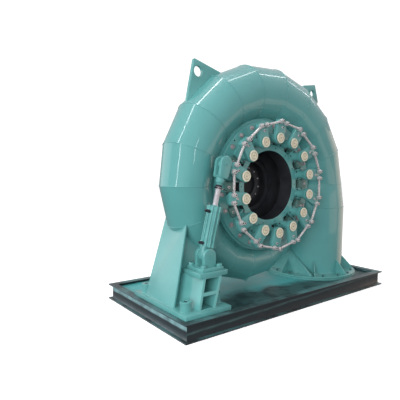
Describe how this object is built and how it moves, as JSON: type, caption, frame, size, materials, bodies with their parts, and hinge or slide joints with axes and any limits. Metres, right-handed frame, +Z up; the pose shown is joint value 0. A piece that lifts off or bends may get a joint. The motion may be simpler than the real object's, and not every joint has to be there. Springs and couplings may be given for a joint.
{
  "type": "francis turbine",
  "caption": "Horizontal-shaft francis turbine: spiral casing, wicket gate gear with levers and links, servo cylinder, on a steel base frame.",
  "frame": {"origin": "centre of the base frame's footprint, on the floor", "axes": "+Z up, +X along the base frame towards the inlet pipe, the gear side of the turbine faces -Y"},
  "size_m": [2.95, 1.445, 2.5059],
  "materials": {
    "teal_enamel": "high gloss enamel",
    "frame_paint": "semi gloss dark grey",
    "stem_cream": "satin cream",
    "link_steel": "bright zinc plated"
  },
  "bodies": {
    "casing": {"scroll_case": "teal_enamel", "inlet_pipe": "teal_enamel", "inlet_flange": "teal_enamel", "stay_ring": "teal_enamel", "bore_ring": "teal_enamel", "front_cover": "teal_enamel", "rear_cover": "teal_enamel", "rear_hub": "teal_enamel", "lifting_lug_left": "teal_enamel", "lifting_lug_right": "teal_enamel", "support_foot": "teal_enamel", "foot_plate": "teal_enamel", "servo_bracket": "teal_enamel", "servo_clevis": "teal_enamel", "deck_plate": "teal_enamel", "base_frame": "frame_paint"},
    "vane_01": {"guide_vane_01": "stem_cream", "guide_lever_01": "teal_enamel"},
    "vane_02": {"guide_vane_02": "stem_cream", "guide_lever_02": "teal_enamel"},
    "vane_03": {"guide_vane_03": "stem_cream", "guide_lever_03": "teal_enamel"},
    "vane_04": {"guide_vane_04": "stem_cream", "guide_lever_04": "teal_enamel"},
    "vane_05": {"guide_vane_05": "stem_cream", "guide_lever_05": "teal_enamel"},
    "vane_06": {"guide_vane_06": "stem_cream", "guide_lever_06": "teal_enamel"},
    "vane_07": {"guide_vane_07": "stem_cream", "guide_lever_07": "teal_enamel"},
    "vane_08": {"guide_vane_08": "stem_cream", "guide_lever_08": "teal_enamel"},
    "vane_09": {"guide_vane_09": "stem_cream", "guide_lever_09": "teal_enamel"},
    "vane_10": {"guide_vane_10": "stem_cream", "guide_lever_10": "teal_enamel"},
    "vane_11": {"guide_vane_11": "stem_cream", "guide_lever_11": "teal_enamel"},
    "vane_12": {"guide_vane_12": "stem_cream", "guide_lever_12": "teal_enamel"},
    "vane_13": {"guide_vane_13": "stem_cream", "guide_lever_13": "teal_enamel"},
    "vane_14": {"guide_vane_14": "stem_cream", "guide_lever_14": "teal_enamel"},
    "coupler_01": {"link_01": "link_steel"},
    "coupler_02": {"link_02": "link_steel"},
    "coupler_03": {"link_03": "link_steel"},
    "coupler_04": {"link_04": "link_steel"},
    "coupler_05": {"link_05": "link_steel"},
    "coupler_06": {"link_06": "link_steel"},
    "coupler_07": {"link_07": "link_steel"},
    "coupler_08": {"link_08": "link_steel"},
    "coupler_09": {"link_09": "link_steel"},
    "coupler_10": {"link_10": "link_steel"},
    "coupler_11": {"link_11": "link_steel"},
    "coupler_12": {"link_12": "link_steel"},
    "coupler_13": {"link_13": "link_steel"},
    "coupler_14": {"link_14": "link_steel"},
    "cylinder": {"servo_cylinder": "teal_enamel"},
    "rod": {"servo_rod": "teal_enamel"}
  },
  "joints": [
    {"name": "vane_01_turn", "type": "hinge", "parent": "casing", "child": "vane_01", "pos_m": [-0.10355, -0.4, 1.71793], "axis": [0, -1, 0], "range_deg": [0, 30]},
    {"name": "coupler_01_turn", "type": "hinge", "parent": "vane_01", "child": "coupler_01", "pos_m": [-0.02664, -0.44, 1.86785], "axis": [0, -1, 0], "range_deg": [-30, 0]},
    {"name": "vane_02_turn", "type": "hinge", "parent": "casing", "child": "vane_02", "pos_m": [0.10987, -0.4, 1.67312], "axis": [0, -1, 0], "range_deg": [0, 30]},
    {"name": "coupler_02_turn", "type": "hinge", "parent": "vane_02", "child": "coupler_02", "pos_m": [0.24421, -0.44, 1.77483], "axis": [0, -1, 0], "range_deg": [-30, 0]},
    {"name": "vane_03_turn", "type": "hinge", "parent": "casing", "child": "vane_03", "pos_m": [0.28271, -0.4, 1.54015], "axis": [0, -1, 0], "range_deg": [0, 30]},
    {"name": "coupler_03_turn", "type": "hinge", "parent": "vane_03", "child": "coupler_03", "pos_m": [0.44787, -0.44, 1.5735], "axis": [0, -1, 0], "range_deg": [-30, 0]},
    {"name": "vane_04_turn", "type": "hinge", "parent": "casing", "child": "vane_04", "pos_m": [0.38074, -0.4, 1.34536], "axis": [0, -1, 0], "range_deg": [0, 30]},
    {"name": "coupler_04_turn", "type": "hinge", "parent": "vane_04", "child": "coupler_04", "pos_m": [0.54402, -0.44, 1.30374], "axis": [0, -1, 0], "range_deg": [-30, 0]},
    {"name": "vane_05_turn", "type": "hinge", "parent": "casing", "child": "vane_05", "pos_m": [0.38454, -0.4, 1.12732], "axis": [0, -1, 0], "range_deg": [0, 30]},
    {"name": "coupler_05_turn", "type": "hinge", "parent": "vane_05", "child": "coupler_05", "pos_m": [0.5136, -0.44, 1.01898], "axis": [0, -1, 0], "range_deg": [-30, 0]},
    {"name": "vane_06_turn", "type": "hinge", "parent": "casing", "child": "vane_06", "pos_m": [0.29337, -0.4, 0.92922], "axis": [0, -1, 0], "range_deg": [0, 30]},
    {"name": "coupler_06_turn", "type": "hinge", "parent": "vane_06", "child": "coupler_06", "pos_m": [0.36263, -0.44, 0.77562], "axis": [0, -1, 0], "range_deg": [-30, 0]},
    {"name": "vane_07_turn", "type": "hinge", "parent": "casing", "child": "vane_07", "pos_m": [0.12528, -0.4, 0.7903], "axis": [0, -1, 0], "range_deg": [0, 30]},
    {"name": "coupler_07_turn", "type": "hinge", "parent": "vane_07", "child": "coupler_07", "pos_m": [0.12103, -0.44, 0.62186], "axis": [0, -1, 0], "range_deg": [-30, 0]},
    {"name": "vane_08_turn", "type": "hinge", "parent": "casing", "child": "vane_08", "pos_m": [-0.08645, -0.4, 0.73807], "axis": [0, -1, 0], "range_deg": [0, 30]},
    {"name": "coupler_08_turn", "type": "hinge", "parent": "vane_08", "child": "coupler_08", "pos_m": [-0.16336, -0.44, 0.58815], "axis": [0, -1, 0], "range_deg": [-30, 0]},
    {"name": "vane_09_turn", "type": "hinge", "parent": "casing", "child": "vane_09", "pos_m": [-0.29987, -0.4, 0.78288], "axis": [0, -1, 0], "range_deg": [0, 30]},
    {"name": "coupler_09_turn", "type": "hinge", "parent": "vane_09", "child": "coupler_09", "pos_m": [-0.43421, -0.44, 0.68117], "axis": [0, -1, 0], "range_deg": [-30, 0]},
    {"name": "vane_10_turn", "type": "hinge", "parent": "casing", "child": "vane_10", "pos_m": [-0.47271, -0.4, 0.91585], "axis": [0, -1, 0], "range_deg": [0, 30]},
    {"name": "coupler_10_turn", "type": "hinge", "parent": "vane_10", "child": "coupler_10", "pos_m": [-0.63787, -0.44, 0.8825], "axis": [0, -1, 0], "range_deg": [-30, 0]},
    {"name": "vane_11_turn", "type": "hinge", "parent": "casing", "child": "vane_11", "pos_m": [-0.57074, -0.4, 1.11064], "axis": [0, -1, 0], "range_deg": [0, 30]},
    {"name": "coupler_11_turn", "type": "hinge", "parent": "vane_11", "child": "coupler_11", "pos_m": [-0.73402, -0.44, 1.15226], "axis": [0, -1, 0], "range_deg": [-30, 0]},
    {"name": "vane_12_turn", "type": "hinge", "parent": "casing", "child": "vane_12", "pos_m": [-0.57454, -0.4, 1.32868], "axis": [0, -1, 0], "range_deg": [0, 30]},
    {"name": "coupler_12_turn", "type": "hinge", "parent": "vane_12", "child": "coupler_12", "pos_m": [-0.7036, -0.44, 1.43702], "axis": [0, -1, 0], "range_deg": [-30, 0]},
    {"name": "vane_13_turn", "type": "hinge", "parent": "casing", "child": "vane_13", "pos_m": [-0.48337, -0.4, 1.52678], "axis": [0, -1, 0], "range_deg": [0, 30]},
    {"name": "coupler_13_turn", "type": "hinge", "parent": "vane_13", "child": "coupler_13", "pos_m": [-0.55263, -0.44, 1.68038], "axis": [0, -1, 0], "range_deg": [-30, 0]},
    {"name": "vane_14_turn", "type": "hinge", "parent": "casing", "child": "vane_14", "pos_m": [-0.31528, -0.4, 1.6657], "axis": [0, -1, 0], "range_deg": [0, 30]},
    {"name": "coupler_14_turn", "type": "hinge", "parent": "vane_14", "child": "coupler_14", "pos_m": [-0.31103, -0.44, 1.83414], "axis": [0, -1, 0], "range_deg": [-30, 0]},
    {"name": "cylinder_swing", "type": "hinge", "parent": "casing", "child": "cylinder", "pos_m": [-1.04, -0.4037, 0.615], "axis": [0, 1, 0], "range_deg": [0, 1.4]},
    {"name": "rod_slide", "type": "slide", "parent": "cylinder", "child": "rod", "axis": [0.2342, 0, 0.9722], "range_m": [-0.1485, 0]}
  ],
  "couplings": [
    {"joint": "vane_01_turn", "follows": "vane_12_turn", "ratio": 1},
    {"joint": "coupler_01_turn", "follows": "vane_12_turn", "ratio": -1},
    {"joint": "vane_02_turn", "follows": "vane_12_turn", "ratio": 1},
    {"joint": "coupler_02_turn", "follows": "vane_12_turn", "ratio": -1},
    {"joint": "vane_03_turn", "follows": "vane_12_turn", "ratio": 1},
    {"joint": "coupler_03_turn", "follows": "vane_12_turn", "ratio": -1},
    {"joint": "vane_04_turn", "follows": "vane_12_turn", "ratio": 1},
    {"joint": "coupler_04_turn", "follows": "vane_12_turn", "ratio": -1},
    {"joint": "vane_05_turn", "follows": "vane_12_turn", "ratio": 1},
    {"joint": "coupler_05_turn", "follows": "vane_12_turn", "ratio": -1},
    {"joint": "vane_06_turn", "follows": "vane_12_turn", "ratio": 1},
    {"joint": "coupler_06_turn", "follows": "vane_12_turn", "ratio": -1},
    {"joint": "vane_07_turn", "follows": "vane_12_turn", "ratio": 1},
    {"joint": "coupler_07_turn", "follows": "vane_12_turn", "ratio": -1},
    {"joint": "vane_08_turn", "follows": "vane_12_turn", "ratio": 1},
    {"joint": "coupler_08_turn", "follows": "vane_12_turn", "ratio": -1},
    {"joint": "vane_09_turn", "follows": "vane_12_turn", "ratio": 1},
    {"joint": "coupler_09_turn", "follows": "vane_12_turn", "ratio": -1},
    {"joint": "vane_10_turn", "follows": "vane_12_turn", "ratio": 1},
    {"joint": "coupler_10_turn", "follows": "vane_12_turn", "ratio": -1},
    {"joint": "vane_11_turn", "follows": "vane_12_turn", "ratio": 1},
    {"joint": "coupler_11_turn", "follows": "vane_12_turn", "ratio": -1},
    {"joint": "coupler_12_turn", "follows": "vane_12_turn", "ratio": -1},
    {"joint": "vane_13_turn", "follows": "vane_12_turn", "ratio": 1},
    {"joint": "coupler_13_turn", "follows": "vane_12_turn", "ratio": -1},
    {"joint": "vane_14_turn", "follows": "vane_12_turn", "ratio": 1},
    {"joint": "coupler_14_turn", "follows": "vane_12_turn", "ratio": -1},
    {"joint": "cylinder_swing", "follows": "vane_12_turn", "ratio": 0.04628},
    {"joint": "rod_slide", "follows": "vane_12_turn", "m_per_rad": -0.28305}
  ]
}
